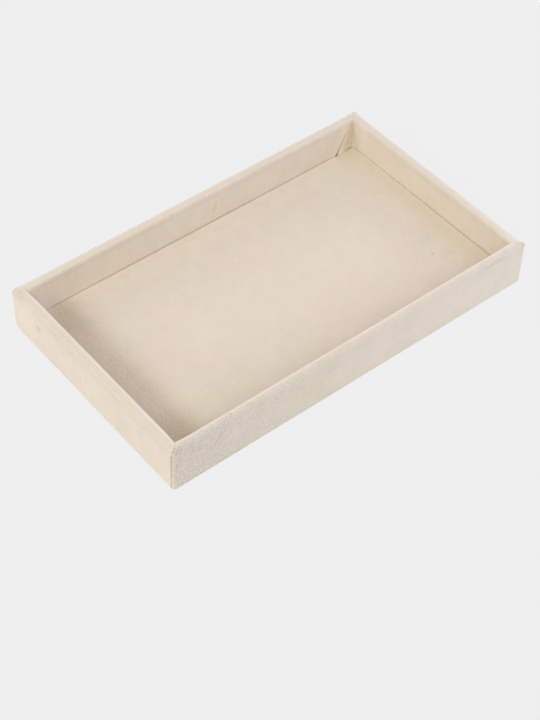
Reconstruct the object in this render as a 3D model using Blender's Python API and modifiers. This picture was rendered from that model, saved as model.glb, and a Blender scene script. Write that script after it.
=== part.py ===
"""A shallow jewelry tray with one open compartment, covered all over in velvet.

Four board walls stand round a base board, nailed at the corners with brads. Each wall is wrapped
in its own strip of velvet, which starts under the base, runs up the outer face, over the rounded
rim and down the inner face, and ends in a hem on the base. The long strips reach round the
outer corners as narrow ears. The short strips reach round the inner corners as gussets, behind
the slanted ends of the long ones. A velvet-wrapped card lies on the hems as the compartment's
floor, and a plain sheet closes the underside.

Metres, +Z up. X runs along the tray, Y across it, and the origin is the middle of the underside.
"""

import math

import bmesh
import bpy
from mathutils import Vector

# The finished size over the velvet. The walls are measured from their lower edge to the rim
LENGTH = 0.250
WIDTH = 0.150
WALL_HEIGHT = 0.030

# The stock: velvet, boards and card by their thickness, and the glue line between two layers
VELVET = 0.0007
WALL_BOARD = 0.005
BASE_BOARD = 0.003
PAD_CARD = 0.0015
GLUE_LINE = 0.0003

# How far the edges under the velvet are rounded
RIM_ROUNDING = 0.0015
FOOT_EASE = 0.0002
CARD_EASE = 0.0002
ROUNDING_LIMIT_SHARE = 0.45

# The long wall's velvet: its ear round the outer corner, and its slanted end at the inner one
EAR_REACH = 0.003
GUSSET_HEAD = 0.002
GUSSET_FOOT = 0.013
SEAM = 0.0004

# How far the velvet is turned in on the base and under the card
WALL_HEM = 0.008
PAD_HEM = 0.010

# The sheet under the tray
SHEET_INSET = 0.003
SHEET_CORNER = 0.003

# The brads: their shank and head, how deep the head is set, and where they stand up the wall
BRAD_SHANK = 0.0008
BRAD_HEAD = 0.0012
BRAD_HEAD_DEPTH = 0.0005
BRAD_LENGTH = 0.015
BRAD_POINT = 0.0012
BRAD_SET = 0.0002
BRAD_HEIGHT_SHARES = (0.25, 0.75)

# How far a cutter runs past what it cuts, and how near two points are one
OVERRUN = 0.004
WELD = GLUE_LINE / 20

# How finely the rounds are cut. A bevel's profile of this value is a circle's arc
ARC_SEGMENTS = 5
EASE_SEGMENTS = 3
BRAD_STEPS = 12
ARC_PROFILE = 0.5
SMOOTH_UNDER = math.radians(35)

# Layers across a wall, from the outer face inwards
LAYER = VELVET + GLUE_LINE
WALL = WALL_BOARD + 2 * LAYER
rim_rounding = min(RIM_ROUNDING, ROUNDING_LIMIT_SHARE * WALL_BOARD)
RIM_RADIUS = rim_rounding + LAYER
FOOT_RADIUS = FOOT_EASE + LAYER
PAD_RADIUS = CARD_EASE + LAYER

# Layers from the underside up
FOOT_Z = LAYER
RIM_Z = FOOT_Z + WALL_HEIGHT
BOARD_Z = FOOT_Z + LAYER
BASE_TOP_Z = BOARD_Z + BASE_BOARD
HEM_TOP_Z = BASE_TOP_Z + LAYER
PAD_Z = HEM_TOP_Z + GLUE_LINE
CARD_Z = PAD_Z + LAYER
FLOOR_Z = CARD_Z + PAD_CARD + LAYER

# Half sizes in plan, from the middle outwards
INNER_X = LENGTH / 2 - WALL
INNER_Y = WIDTH / 2 - WALL
BOARD_X = LENGTH / 2 - LAYER
BOARD_Y = WIDTH / 2 - LAYER
BOARD_TOP_Z = RIM_Z - LAYER
BASE_X = BOARD_X - WALL_BOARD - GLUE_LINE
BASE_Y = BOARD_Y - WALL_BOARD - GLUE_LINE
PAD_X = INNER_X - GLUE_LINE
PAD_Y = INNER_Y - GLUE_LINE


def clear_scene():
    for obj in list(bpy.data.objects):
        bpy.data.objects.remove(obj, do_unlink=True)


def new_collection(name):
    collection = bpy.data.collections.new(name)
    bpy.context.scene.collection.children.link(collection)
    return collection


def new_material(name, colour, roughness, metallic=0.0):
    material = bpy.data.materials.new(name)
    material.use_nodes = True
    shader = material.node_tree.nodes["Principled BSDF"]
    shader.inputs["Base Color"].default_value = (*colour, 1.0)
    shader.inputs["Roughness"].default_value = roughness
    shader.inputs["Metallic"].default_value = metallic
    return material


clear_scene()
tray = new_collection("jewelry_tray")
cutters = new_collection("cutters")

velvet_beige = new_material("velvet_beige", (0.70, 0.60, 0.47), 0.95)
backing_felt = new_material("backing_felt", (0.62, 0.53, 0.42), 0.95)
fibreboard = new_material("fibreboard", (0.42, 0.30, 0.19), 0.85)
grey_card = new_material("grey_card", (0.45, 0.43, 0.40), 0.9)
brad_steel = new_material("brad_steel", (0.62, 0.62, 0.60), 0.35, 1.0)

# Every piece hangs on this empty, so the whole tray moves as one
stand = bpy.data.objects.new("tray_origin", None)
tray.objects.link(stand)


def add_piece(name, mesh, material):
    """A visible piece of the tray."""
    piece = bpy.data.objects.new(name, mesh)
    piece.parent = stand
    if not mesh.materials:
        mesh.materials.append(material)
    mesh.shade_smooth()
    mesh.set_sharp_from_angle(angle=SMOOTH_UNDER)
    tray.objects.link(piece)
    return piece


def add_cutter(name, mesh):
    """A shape that only cuts, or that pieces are cut from."""
    cutter = bpy.data.objects.new(name, mesh)
    cutter.hide_render = True
    cutter.display_type = "WIRE"
    cutters.objects.link(cutter)
    return cutter


def apply_boolean(target, operation, tool):
    """A Boolean modifier on the target, left in place."""
    modifier = target.modifiers.new(f"{operation.lower()} {tool.name}", "BOOLEAN")
    modifier.operation = operation
    modifier.object = tool


def shaped_mesh(source, name):
    """The source's mesh with its modifiers done."""
    bpy.context.view_layer.update()
    graph = bpy.context.evaluated_depsgraph_get()
    mesh = bpy.data.meshes.new_from_object(source.evaluated_get(graph))
    mesh.name = name
    return mesh


def box_shape(size, middle):
    """A bmesh box, from the cube primitive."""
    shape = bmesh.new()
    bmesh.ops.create_cube(shape, size=1.0)
    bmesh.ops.scale(shape, vec=size, verts=shape.verts)
    bmesh.ops.translate(shape, vec=middle, verts=shape.verts)
    return shape


def mesh_from(shape, name):
    """The finished bmesh as a mesh, its faces pointing out."""
    bmesh.ops.recalc_face_normals(shape, faces=shape.faces)
    mesh = bpy.data.meshes.new(name)
    shape.to_mesh(mesh)
    shape.free()
    return mesh


def is_level(edge, height):
    """Whether the edge lies at this height from end to end."""
    return all(math.isclose(vert.co.z, height, abs_tol=WELD) for vert in edge.verts)


def is_upright(edge):
    """Whether the edge runs more up than across."""
    run = edge.verts[0].co - edge.verts[1].co
    return abs(run.z) > max(abs(run.x), abs(run.y))


def round_edges(shape, edges, radius, segments):
    """A true quarter round on each edge."""
    bmesh.ops.bevel(
        shape,
        geom=edges,
        offset=radius,
        offset_type="OFFSET",
        segments=segments,
        profile=ARC_PROFILE,
        affect="EDGES",
    )


def outline_solid(name, points, thickness):
    """A flat outline in the XY plane as a solid, half its thickness to each side."""
    curve = bpy.data.curves.new(name, "CURVE")
    curve.dimensions = "2D"
    curve.fill_mode = "BOTH"
    curve.extrude = thickness / 2
    spline = curve.splines.new("POLY")
    spline.points.add(len(points) - 1)
    for point, (across, up) in zip(spline.points, points):
        point.co = (across, up, 0, 1)
    spline.use_cyclic_u = True
    outline = add_cutter(name + " outline", curve)
    mesh = shaped_mesh(outline, name)
    bpy.data.objects.remove(outline, do_unlink=True)
    shape = bmesh.new()
    shape.from_mesh(mesh)
    bmesh.ops.remove_doubles(shape, verts=shape.verts, dist=WELD)
    bmesh.ops.recalc_face_normals(shape, faces=shape.faces)
    shape.to_mesh(mesh)
    shape.free()
    return mesh


# The boards. The long ones run the whole length, and the short ones stand between them
def wall_board_shape(length, thickness_axis):
    """A sawn wall board in the middle of the tray, before its edges are rounded."""
    size = Vector((length, length, BOARD_TOP_Z - BOARD_Z))
    size[thickness_axis] = WALL_BOARD
    return box_shape(size, (0, 0, (BOARD_TOP_Z + BOARD_Z) / 2))


def long_board_mesh():
    """Its rim is rounded all round, and so are its two upright edges at the tray's corners."""
    shape = wall_board_shape(2 * BOARD_X, 1)
    rim = [edge for edge in shape.edges if is_level(edge, BOARD_TOP_Z)]
    corners = [edge for edge in shape.edges if is_upright(edge) and edge.verts[0].co.y < 0]
    round_edges(shape, rim + corners, rim_rounding, ARC_SEGMENTS)
    foot = [edge for edge in shape.edges if is_level(edge, BOARD_Z)]
    round_edges(shape, foot, FOOT_EASE, EASE_SEGMENTS)
    return mesh_from(shape, "long_wall_board")


def short_board_mesh():
    """Its ends stay square, because they butt against the long boards."""
    shape = wall_board_shape(2 * BASE_Y, 0)
    along = [edge for edge in shape.edges if abs(edge.verts[0].co.y - edge.verts[1].co.y) > BASE_Y]
    rim = [edge for edge in along if is_level(edge, BOARD_TOP_Z)]
    foot = [edge for edge in along if is_level(edge, BOARD_Z)]
    round_edges(shape, rim, rim_rounding, ARC_SEGMENTS)
    round_edges(shape, foot, FOOT_EASE, EASE_SEGMENTS)
    return mesh_from(shape, "short_wall_board")


def brad_profile(grow):
    """Half the brad's outline from its head to its point, `grow` larger all round."""
    shank = BRAD_SHANK / 2 + grow
    head = BRAD_HEAD / 2 + grow
    return [
        (0, -grow),
        (head, -grow),
        (head, BRAD_HEAD_DEPTH + grow),
        (shank, BRAD_HEAD_DEPTH + grow),
        (shank, BRAD_LENGTH - BRAD_POINT + grow),
        (0, BRAD_LENGTH + grow),
    ]


def brad_mesh(name, grow):
    """The profile turned round the brad's axis, its head at the origin and its point at +Z."""
    shape = bmesh.new()
    outline = [shape.verts.new((radius, 0, along)) for radius, along in reversed(brad_profile(grow))]
    for start, end in zip(outline, outline[1:]):
        shape.edges.new((start, end))
    mesh = bpy.data.meshes.new(name)
    shape.to_mesh(mesh)
    shape.free()
    profile = add_cutter(name + " profile", mesh)
    screw = profile.modifiers.new("turn", "SCREW")
    screw.steps = BRAD_STEPS
    screw.render_steps = BRAD_STEPS
    screw.use_merge_vertices = True
    screw.merge_threshold = WELD
    solid = shaped_mesh(profile, name)
    bpy.data.objects.remove(profile, do_unlink=True)
    return solid


# The boards in their places, with a hole and a brad for each fixing
long_places = {"front": -1, "back": 1}
short_places = {"left": -1, "right": 1}
board_mesh = long_board_mesh()
long_boards = {}
for side, sign in long_places.items():
    board = add_piece(f"{side}_wall_board", board_mesh.copy(), fibreboard)
    board.location.y = sign * (BOARD_Y - WALL_BOARD / 2)
    board.rotation_euler.z = 0 if sign < 0 else math.pi
    long_boards[side] = board

board_mesh = short_board_mesh()
short_boards = {}
for side, sign in short_places.items():
    board = add_piece(f"{side}_wall_board", board_mesh.copy(), fibreboard)
    board.location.x = sign * (BOARD_X - WALL_BOARD / 2)
    short_boards[side] = board

brad_solid = brad_mesh("brad", 0)
hole_solid = brad_mesh("brad_hole", GLUE_LINE)
brad_heights = {
    name: BOARD_Z + share * (BOARD_TOP_Z - BOARD_Z)
    for name, share in zip(("lower", "upper"), BRAD_HEIGHT_SHARES)
}
for long_side, across in long_places.items():
    for short_side, along in short_places.items():
        for level, height in brad_heights.items():
            place = Vector((along * (BOARD_X - WALL_BOARD / 2), across * (BOARD_Y - BRAD_SET), height))
            name = f"{long_side}_{short_side}_{level}_brad"
            hole = add_cutter(name + "_hole", hole_solid)
            hole.location = place
            hole.rotation_euler.x = across * math.pi / 2
            apply_boolean(long_boards[long_side], "DIFFERENCE", hole)
            apply_boolean(short_boards[short_side], "DIFFERENCE", hole)
            brad = add_piece(name, brad_solid, brad_steel)
            brad.location = place
            brad.rotation_euler.x = across * math.pi / 2

# The base stands between the wall boards, level with their lower edges
base_shape = box_shape((2 * BASE_X, 2 * BASE_Y, BASE_BOARD), (0, 0, 0))
base_board = add_piece("base_board", mesh_from(base_shape, "base_board"), fibreboard)
base_board.location.z = BOARD_Z + BASE_BOARD / 2


# The walls' velvet. All four strips are cut from one wrapped form
def wrapped_form(name, depth):
    """The walls and their hems as one solid, `depth` below the face of the velvet."""
    foot = FOOT_Z + depth
    rim = RIM_Z - depth
    size = (LENGTH - 2 * depth, WIDTH - 2 * depth, rim - foot)
    shape = box_shape(size, (0, 0, (rim + foot) / 2))
    top = max(shape.faces, key=lambda face: face.calc_center_median().z)
    bmesh.ops.inset_region(shape, faces=[top], thickness=WALL - 2 * depth, use_even_offset=True)
    sunk = bmesh.ops.extrude_face_region(shape, geom=[top])["geom"]
    bmesh.ops.delete(shape, geom=[top], context="FACES_ONLY")
    for vert in [part for part in sunk if isinstance(part, bmesh.types.BMVert)]:
        vert.co.z = HEM_TOP_Z - depth
    shape.normal_update()
    ring = [
        edge
        for edge in shape.edges
        if is_level(edge, rim) and edge.calc_face_angle() > SMOOTH_UNDER
    ]
    corners = [
        edge
        for edge in shape.edges
        if is_upright(edge) and abs(edge.verts[0].co.x) > LENGTH / 2 - WALL / 2
    ]
    round_edges(shape, ring + corners, RIM_RADIUS - depth, ARC_SEGMENTS)
    lower = [edge for edge in shape.edges if is_level(edge, foot)]
    round_edges(shape, lower, FOOT_RADIUS - depth, EASE_SEGMENTS)
    return add_cutter(name, mesh_from(shape, name))


def long_cut(name, shift):
    """What the front strip keeps, with its seams moved `shift` into its neighbours."""
    reach = (WALL + OVERRUN) / WALL
    ear_x = LENGTH / 2 + OVERRUN
    ear_y = WIDTH / 2 - WALL + (WALL - EAR_REACH) * reach
    hem = WALL_HEM + OVERRUN
    half = [
        (INNER_X - hem, INNER_Y - hem),
        (INNER_X, INNER_Y),
        (ear_x, ear_y),
        (ear_x, WIDTH / 2 + OVERRUN),
    ]
    outline = [(x, shift - y) for x, y in half] + [(-x, shift - y) for x, y in reversed(half)]
    cut = add_cutter(name, outline_solid(name, outline, 2 * (RIM_Z + OVERRUN)))
    for sign in (-1, 1):
        apply_boolean(cut, "DIFFERENCE", gusset_cut(f"{name}_gusset_{sign}", sign, shift))
    return cut


def gusset_cut(name, sign, shift):
    """The slanted piece at one end of the front wall's inner face that the short strip covers."""
    under_velvet = VELVET + GLUE_LINE / 2
    head = RIM_Z - RIM_RADIUS
    foot = BASE_TOP_Z - BASE_BOARD / 2
    outline = [
        (sign * (INNER_X - GUSSET_HEAD + shift), head),
        (sign * (INNER_X + under_velvet), head),
        (sign * (INNER_X + under_velvet), foot),
        (sign * (INNER_X - GUSSET_FOOT + shift), foot),
    ]
    depth = under_velvet + WALL_HEM + OVERRUN
    cut = add_cutter(name, outline_solid(name, outline, depth))
    cut.rotation_euler.x = math.pi / 2
    cut.location.y = depth / 2 - INNER_Y - under_velvet
    return cut


whole_form = wrapped_form("velvet_outside", 0)
hollow = wrapped_form("velvet_inside", VELVET)
window_size = (2 * (INNER_X - WALL_HEM), 2 * (INNER_Y - WALL_HEM), 2 * (RIM_Z + OVERRUN))
window = add_cutter("window", mesh_from(box_shape(window_size, (0, 0, 0)), "window"))


def wall_cover_form(name):
    """A ring of velvet over all four walls, to cut one wall's strip from."""
    form = add_cutter(name, whole_form.data.copy())
    apply_boolean(form, "DIFFERENCE", hollow)
    apply_boolean(form, "DIFFERENCE", window)
    return form


long_form = wall_cover_form("long_cover_form")
apply_boolean(long_form, "INTERSECT", long_cut("front_strip", -SEAM / 2))
long_cover = shaped_mesh(long_form, "long_wall_cover")

short_form = wall_cover_form("short_cover_form")
kept_out = long_cut("front_strip_and_seam", SEAM / 2)
apply_boolean(short_form, "DIFFERENCE", kept_out)
opposite = add_cutter("back_strip_and_seam", shaped_mesh(kept_out, "back_strip_and_seam"))
opposite.rotation_euler.z = math.pi
apply_boolean(short_form, "DIFFERENCE", opposite)
half_size = (LENGTH, 2 * WIDTH, 2 * (RIM_Z + OVERRUN))
half_shape = box_shape(half_size, (LENGTH / 2, 0, 0))
other_half = add_cutter("other_half", mesh_from(half_shape, "other_half"))
apply_boolean(short_form, "DIFFERENCE", other_half)
short_cover = shaped_mesh(short_form, "short_wall_cover")

for side, sign in long_places.items():
    cover = add_piece(f"{side}_wall_cover", long_cover, velvet_beige)
    cover.rotation_euler.z = 0 if sign < 0 else math.pi
for side, sign in short_places.items():
    cover = add_piece(f"{side}_wall_cover", short_cover, velvet_beige)
    cover.rotation_euler.z = 0 if sign < 0 else math.pi


# The floor pad: a card in its own velvet, whose hems are mitred under it
def padded_box(name, depth):
    """The floor pad as a solid with rounded edges, `depth` below the face of its velvet."""
    size = (2 * (PAD_X - depth), 2 * (PAD_Y - depth), FLOOR_Z - PAD_Z - 2 * depth)
    shape = box_shape(size, (0, 0, 0))
    round_edges(shape, list(shape.edges), PAD_RADIUS - depth, EASE_SEGMENTS)
    return mesh_from(shape, name)


pad_middle = (PAD_Z + FLOOR_Z) / 2
floor_pad_card = add_piece("floor_pad_card", padded_box("floor_pad_card", LAYER), grey_card)
floor_pad_card.location.z = pad_middle
floor_pad_velvet = add_piece("floor_pad_velvet", padded_box("floor_pad_velvet", 0), velvet_beige)
floor_pad_velvet.location.z = pad_middle
pad_hollow = add_cutter("pad_hollow", padded_box("pad_hollow", VELVET))
pad_hollow.location.z = pad_middle
apply_boolean(floor_pad_velvet, "DIFFERENCE", pad_hollow)
opening_shape = box_shape((2 * (PAD_X - PAD_HEM), 2 * (PAD_Y - PAD_HEM), FLOOR_Z - PAD_Z), (0, 0, 0))
pad_opening = add_cutter("pad_opening", mesh_from(opening_shape, "pad_opening"))
pad_opening.location.z = PAD_Z
apply_boolean(floor_pad_velvet, "DIFFERENCE", pad_opening)
mitre_shape = box_shape((PAD_HEM * math.sqrt(2), SEAM, 2 * VELVET + GLUE_LINE), (0, 0, 0))
mitre_mesh = mesh_from(mitre_shape, "pad_mitre")
mitre_inset = PAD_RADIUS + SEAM + PAD_HEM / 2
for along in (-1, 1):
    for across in (-1, 1):
        mitre = add_cutter("pad_mitre", mitre_mesh)
        mitre.location = (along * (PAD_X - mitre_inset), across * (PAD_Y - mitre_inset), PAD_Z)
        mitre.rotation_euler.z = along * across * math.pi / 4
        apply_boolean(floor_pad_velvet, "DIFFERENCE", mitre)

# The sheet that closes the underside and carries the tray
sheet_shape = box_shape((LENGTH - 2 * SHEET_INSET, WIDTH - 2 * SHEET_INSET, VELVET), (0, 0, 0))
sheet_corners = [edge for edge in sheet_shape.edges if is_upright(edge)]
round_edges(sheet_shape, sheet_corners, SHEET_CORNER, ARC_SEGMENTS)
bottom_sheet = add_piece("bottom_sheet", mesh_from(sheet_shape, "bottom_sheet"), backing_felt)
bottom_sheet.location.z = VELVET / 2
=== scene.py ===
# %% [markdown]
# A shallow jewelry tray, covered in beige velvet
#
# The real tray is four thin boards round a base, wrapped in velvet strips. Each long strip turns
# the outer corners as a narrow ear, and each short strip turns the inner corners as a gusset. A
# card in velvet lies on the bottom. The boards, brads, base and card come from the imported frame.
# Everything made of cloth is modelled here, because the cloth is all that shows.

# %% Load the frame
import math

import bmesh
import bpy
import numpy as np
from mathutils import Matrix, Vector, noise


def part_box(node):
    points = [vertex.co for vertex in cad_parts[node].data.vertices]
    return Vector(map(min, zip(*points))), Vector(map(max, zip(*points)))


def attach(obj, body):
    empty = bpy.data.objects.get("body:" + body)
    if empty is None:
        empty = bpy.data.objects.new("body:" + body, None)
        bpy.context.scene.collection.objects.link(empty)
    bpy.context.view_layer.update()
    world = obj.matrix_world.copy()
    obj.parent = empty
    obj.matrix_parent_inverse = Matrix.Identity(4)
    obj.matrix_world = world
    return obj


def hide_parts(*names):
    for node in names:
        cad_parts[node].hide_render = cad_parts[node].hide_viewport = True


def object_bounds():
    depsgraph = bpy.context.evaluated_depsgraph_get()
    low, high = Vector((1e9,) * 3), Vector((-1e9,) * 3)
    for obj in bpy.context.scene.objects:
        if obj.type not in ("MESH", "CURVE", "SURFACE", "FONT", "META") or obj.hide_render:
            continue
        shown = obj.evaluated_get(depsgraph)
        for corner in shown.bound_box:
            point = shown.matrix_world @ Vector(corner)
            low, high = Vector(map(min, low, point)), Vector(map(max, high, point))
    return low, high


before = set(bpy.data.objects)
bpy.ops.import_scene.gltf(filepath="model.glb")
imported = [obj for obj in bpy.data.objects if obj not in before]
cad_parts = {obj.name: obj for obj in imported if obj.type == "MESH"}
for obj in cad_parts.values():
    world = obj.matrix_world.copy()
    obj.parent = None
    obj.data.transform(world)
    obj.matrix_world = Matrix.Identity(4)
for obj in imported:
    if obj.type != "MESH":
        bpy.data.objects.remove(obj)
scene = bpy.context.scene
cad_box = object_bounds()
MM = 0.001
print("pieces in the frame:", len(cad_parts))

# %% [markdown]
# The sizes that the cloth has to follow are read from the frame: the box of the whole tray, how
# far the velvet stands off its boards, how thick a wall is, and where the floor pad lies. Only
# what the boxes can't tell, such as the radius of the rim, is typed here.

# %% Sizes of the tray
HALF_LENGTH = cad_box[1].x
HALF_WIDTH = cad_box[1].y
RIM_Z = cad_box[1].z
FOOT_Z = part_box("front_wall_cover")[0].z
board_low, board_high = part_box("front_wall_board")
LAYER = board_low.y + HALF_WIDTH
WALL = board_high.y - board_low.y + 2 * LAYER
INNER_LENGTH = HALF_LENGTH - WALL
INNER_WIDTH = HALF_WIDTH - WALL
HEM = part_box("front_wall_cover")[1].y + INNER_WIDTH
HEM_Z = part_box("base_board")[1].z + LAYER
pad_low, pad_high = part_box("floor_pad_velvet")
FLOOR_Z = pad_high.z
FOOT_RADIUS = 1.2 * MM
PAD_RADIUS = 0.5 * MM
print("wall", round(WALL / MM, 2), "mm thick, floor", round((RIM_Z - FLOOR_Z) / MM, 2), "mm deep")

# %% [markdown]
# The camera looks down on the near left corner, from a little under 48 degrees above the table.
# Three turns aim it: round the upright axis, down towards the tray, and a slight roll. As matrices,
# unlike angles in the camera's rotation fields, they also say which way to step back from the tray.
# The values come from fitting the tray's corners and edges to the photograph.

# %% Camera
CAMERA_TURN = math.radians(-39.3275)
CAMERA_HEIGHT = math.radians(47.9843)
CAMERA_ROLL = math.radians(0.9229)
CAMERA_DISTANCE = 0.932573
CAMERA_AIM = Vector((-0.0277732, -0.0333287, 0))
LENS_MM = 83.9065
turn = Matrix.Rotation(CAMERA_TURN, 4, "Z")
tilt = Matrix.Rotation(math.pi / 2 - CAMERA_HEIGHT, 4, "X")
roll = Matrix.Rotation(CAMERA_ROLL, 4, "Z")
aim = turn @ tilt @ roll
camera = bpy.data.objects.new("camera", bpy.data.cameras.new("camera"))
scene.collection.objects.link(camera)
camera.data.lens = LENS_MM
camera.matrix_world = Matrix.Translation(CAMERA_AIM + aim.col[2].to_3d() * CAMERA_DISTANCE) @ aim
scene.camera = camera
print("camera at", tuple(round(value, 3) for value in camera.matrix_world.translation))

# %% [markdown]
# The tray stands on a pale grey table in front of nothing. A matt table would be brighter on one
# side, and a glowing one would take no shadow, so the two are mixed: what the camera sees is mostly
# glow, and the rest is matt and takes the tray's soft shadow. The world has the same grey for the
# camera, so the table's far edge never shows. Both need to know what the camera sees.

# %% Helpers for materials
def new_material(name):
    """A node material and its net of nodes, with the shader and the output in place."""
    material = bpy.data.materials.new(name)
    material.use_nodes = True
    return material, material.node_tree


def fill(node, values):
    """Type values into a node's inputs, which are found by name."""
    for name, value in values.items():
        node.inputs[name].default_value = value


def camera_sees(net):
    """1 where the camera looks, straight, in a mirror or through glass, and 0 for other light."""
    path = net.nodes.new("ShaderNodeLightPath")
    total = path.outputs["Is Camera Ray"]
    for ray in ("Is Glossy Ray", "Is Transmission Ray"):
        either = net.nodes.new("ShaderNodeMath")
        either.operation = "MAXIMUM"
        net.links.new(total, either.inputs[0])
        net.links.new(path.outputs[ray], either.inputs[1])
        total = either.outputs[0]
    return total


# %% Table
PALE_GREY = (0.863, 0.863, 0.863, 1)
TABLE_SIZE = 6.0
GLOW_SHARE = 0.97
table_paint, net = new_material("table_paint")
matt = net.nodes["Principled BSDF"]
fill(matt, {"Base Color": PALE_GREY, "Roughness": 1, "Specular IOR Level": 0})
glow = net.nodes.new("ShaderNodeEmission")
fill(glow, {"Color": PALE_GREY})
share = net.nodes.new("ShaderNodeMath")
share.operation = "MULTIPLY"
share.inputs[1].default_value = GLOW_SHARE
net.links.new(camera_sees(net), share.inputs[0])
mixed = net.nodes.new("ShaderNodeMixShader")
net.links.new(share.outputs[0], mixed.inputs[0])
net.links.new(matt.outputs[0], mixed.inputs[1])
net.links.new(glow.outputs[0], mixed.inputs[2])
net.links.new(mixed.outputs[0], net.nodes["Material Output"].inputs["Surface"])

bpy.ops.mesh.primitive_plane_add(size=TABLE_SIZE)
table = bpy.context.object
table.name = "table"
table.data.materials.append(table_paint)

# %% [markdown]
# The tray stands in a light tent. The world is an even dome, which reaches everywhere and leaves
# soft dark places in the corners. A picture of a studio could light it too, but cloth mirrors
# nothing, so one even colour is enough. The camera sees the backdrop's pale grey in its place.

# %% World
DOME_COLOUR = (1.0, 0.902, 0.932, 1)
DOME_LEVEL = 0.59
world = bpy.data.worlds.new("studio")
world.use_nodes = True
scene.world = world
net = world.node_tree
dome = net.nodes["Background"]
fill(dome, {"Color": DOME_COLOUR, "Strength": DOME_LEVEL})
backdrop = net.nodes.new("ShaderNodeBackground")
fill(backdrop, {"Color": PALE_GREY})
mixed = net.nodes.new("ShaderNodeMixShader")
net.links.new(camera_sees(net), mixed.inputs[0])
net.links.new(dome.outputs[0], mixed.inputs[1])
net.links.new(backdrop.outputs[0], mixed.inputs[2])
net.links.new(mixed.outputs[0], net.nodes["World Output"].inputs["Surface"])
print("dome at", DOME_LEVEL)

# %% [markdown]
# Two square lamps to the left are the key: one straight to the side, which lays the left wall's
# soft shadow on the floor, and a wider and warmer one higher up in front. A cool panel stands close
# by at the right, in front, and lights the near wall, which the others only skim. Area lamps are
# used because their shadows are soft, and the larger the lamp, the softer.

# %% Lamps
def soft_lamp(name, turn, height, distance, size, level, colour):
    """A square lamp aimed at the tray. level is about how bright a white card facing it gets."""
    lamp = bpy.data.objects.new(name, bpy.data.lights.new(name, "AREA"))
    scene.collection.objects.link(lamp)
    turn, height = math.radians(turn), math.radians(height)
    level_part = math.cos(height)
    way = Vector((math.sin(turn) * level_part, -math.cos(turn) * level_part, math.sin(height)))
    lamp.location = way * distance
    lamp.rotation_euler = (-way).to_track_quat("-Z", "Y").to_euler()
    lamp.data.size = size
    lamp.data.energy = level * math.pi * distance**2 * math.pi
    lamp.data.color = colour


# turn and height in degrees, distance and size in metres, level, colour
LAMPS = {
    "side_lamp": (-95, 30, 1.6, 0.6, 0.296, (0.743, 0.838, 1.0)),
    "high_lamp": (-50, 45, 1.6, 0.9, 0.301, (0.90, 1.0, 0.70)),
    "near_lamp": (50, 30, 0.55, 0.5, 0.40, (0.49, 0.675, 1.0)),
}
for name, values in LAMPS.items():
    soft_lamp(name, *values)

scene.view_settings.view_transform = "Standard"

# %% [markdown]
# One strip of velvet starts under the tray, turns up round the foot, climbs the outer face, rolls
# over the rim, drops down the inner face and ends in a hem on the base. Cut across, that is one
# line, drawn here as pairs: how far in from the tray's outer face, and how high. It is a run of
# straight lines and quarter circles, with the points closer where the cloth bends and beside the
# floor pad. A bevelled box would look alike from afar, but this line also tells the later steps
# where each row of the cloth lies and how long the cloth is.

# %% The line across a strip
def held(values):
    """The values, held between 0 and 1."""
    return np.clip(values, 0, 1)


def straight(start, end, steps):
    """Points from start towards end, without the end."""
    return [tuple(np.add(start, np.subtract(end, start) * step / steps)) for step in range(steps)]


def bend(middle, radius, start, end, steps):
    """Points round a middle, from one angle in degrees towards another, without the end."""
    angles = np.radians(np.linspace(start, end, steps, endpoint=False))
    return [(middle[0] + radius * math.cos(a), middle[1] + radius * math.sin(a)) for a in angles]


OUTER_BEND = 2.6 * MM
INNER_BEND = 2.5 * MM
TUCK_RADIUS = 0.5 * MM
OUTER_TOP = RIM_Z - OUTER_BEND
LINING_TOP = RIM_Z - INNER_BEND
PAD_REGION_TOP = FLOOR_Z + 4 * MM
PAD_REGION_LOW = FLOOR_Z - 1.5 * MM
hem_end = WALL + HEM
section = straight((hem_end, FOOT_Z), (FOOT_RADIUS, FOOT_Z), steps=7)
section += bend((FOOT_RADIUS, FOOT_Z + FOOT_RADIUS), FOOT_RADIUS, -90, -180, steps=5)
outer_start = len(section)
section += straight((0, FOOT_Z + FOOT_RADIUS), (0, OUTER_TOP), steps=24)
rim_start = len(section)
section += bend((OUTER_BEND, OUTER_TOP), OUTER_BEND, 180, 90, steps=14)
section += straight((OUTER_BEND, RIM_Z), (WALL - INNER_BEND, RIM_Z), steps=4)
inner_bend_start = len(section)
section += bend((WALL - INNER_BEND, LINING_TOP), INNER_BEND, 90, 0, steps=10)
lining_start = len(section)
section += straight((WALL, LINING_TOP), (WALL, PAD_REGION_TOP), steps=15)
section += straight((WALL, PAD_REGION_TOP), (WALL, PAD_REGION_LOW), steps=14)
section += straight((WALL, PAD_REGION_LOW), (WALL, HEM_Z + TUCK_RADIUS), steps=3)
section += bend((WALL + TUCK_RADIUS, HEM_Z + TUCK_RADIUS), TUCK_RADIUS, 180, 270, steps=3)
hem_start = len(section)
section += straight((WALL + TUCK_RADIUS, HEM_Z), (hem_end, HEM_Z), steps=5) + [(hem_end, HEM_Z)]
section = np.array(section)
inset, height = section[:, 0], section[:, 1]
cloth_across = np.concatenate([[0], np.cumsum(np.hypot(*np.diff(section, axis=0).T))])
print("rows across a strip:", len(section), "over", round(cloth_across[-1] / MM, 1), "mm")

# %% [markdown]
# At every height the four strips share one ring round the tray, a rectangle with rounded corners.
# What differs from row to row is where the long strip ends and the short one begins. That place
# is measured from the corner, towards the short side. On the outer face the long strip's ear
# reaches 1 or 2 mm round the corner. Over the rim the joint runs in to the inner corner. Down the
# inner face it slants back along the long side, which leaves a gusset to the short strip. With the
# joint worked out first, both meshes can end exactly at it, and no cloth has to be cut by another.
# Hand work varies: the gussets differ in width, and one corner's seam stands open.

# %% Where the strips meet
EAR_HEAD = 0.8 * MM
EAR_FOOT = 2.1 * MM
RIM_SWING = 0.9 * MM
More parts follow.
